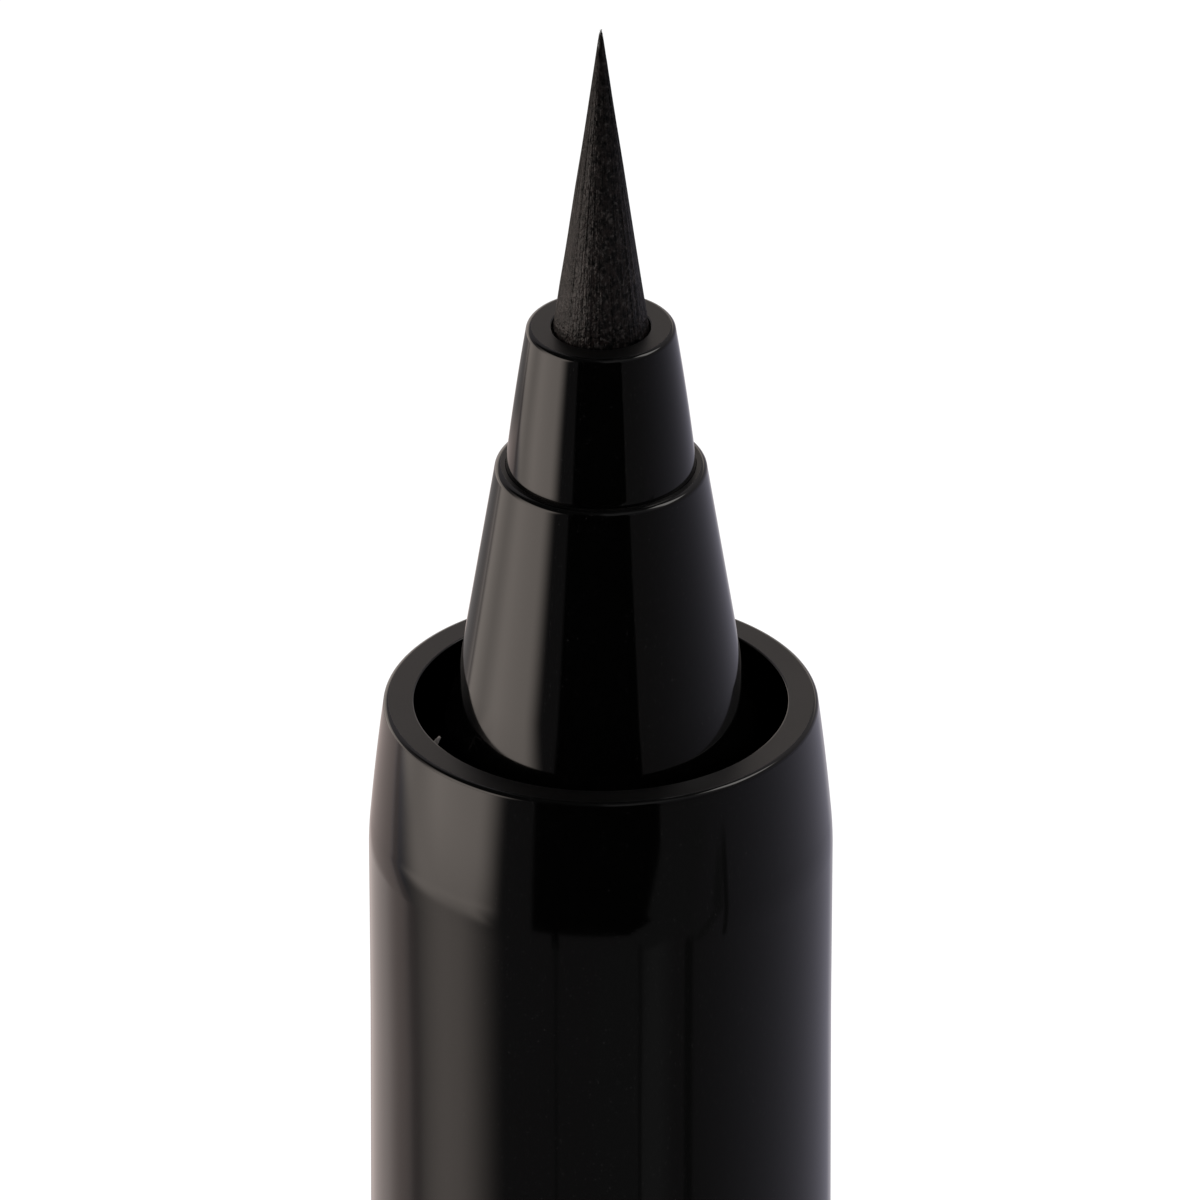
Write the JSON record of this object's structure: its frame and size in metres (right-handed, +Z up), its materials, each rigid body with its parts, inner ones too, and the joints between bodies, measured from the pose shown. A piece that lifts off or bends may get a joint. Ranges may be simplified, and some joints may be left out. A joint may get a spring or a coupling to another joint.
{
  "type": "eyeliner",
  "caption": "Liquid eyeliner pen standing brush tip up, with a tapered nozzle in an open barrel mouth and its cap posted on the tail.",
  "frame": {"origin": "centre of the flat end that the pen stands on, which is the closed end of the posted cap", "axes": "+Z up along the pen's axis towards the brush point, -Y towards the side that the picture shows"},
  "size_m": [0.0114, 0.0114, 0.1506],
  "materials": {
    "barrel_black": "gloss moulded black",
    "nozzle_black": "gloss moulded black with satin cut ends",
    "brush_fibre": "ink-soaked fine synthetic fibres",
    "natural_plastic": "natural translucent polypropylene",
    "feed_fibre": "bonded porous fibre",
    "collector_plastic": "moulded comb",
    "ball_steel": "ground steel ball",
    "inner_black": "satin moulded black"
  },
  "bodies": {
    "pen": {"barrel": "barrel_black", "nozzle": "nozzle_black", "tip_holder": "nozzle_black", "brush_tip": "brush_fibre", "brush_sleeve": "natural_plastic", "feed_core": "feed_fibre", "collector": "collector_plastic", "ink_tank": "natural_plastic", "tail_plug": "inner_black"},
    "cap": {"cap_shell": "barrel_black", "inner_cap": "inner_black"},
    "ball": {"mixing_ball": "ball_steel"}
  },
  "joints": [
    {"name": "cap_pull", "type": "slide", "parent": "pen", "child": "cap", "axis": [0, 0, -1], "range_m": [0, 0.03]},
    {"name": "ball_run", "type": "slide", "parent": "pen", "child": "ball", "axis": [0, 0, 1], "range_m": [0, 0.043]}
  ]
}
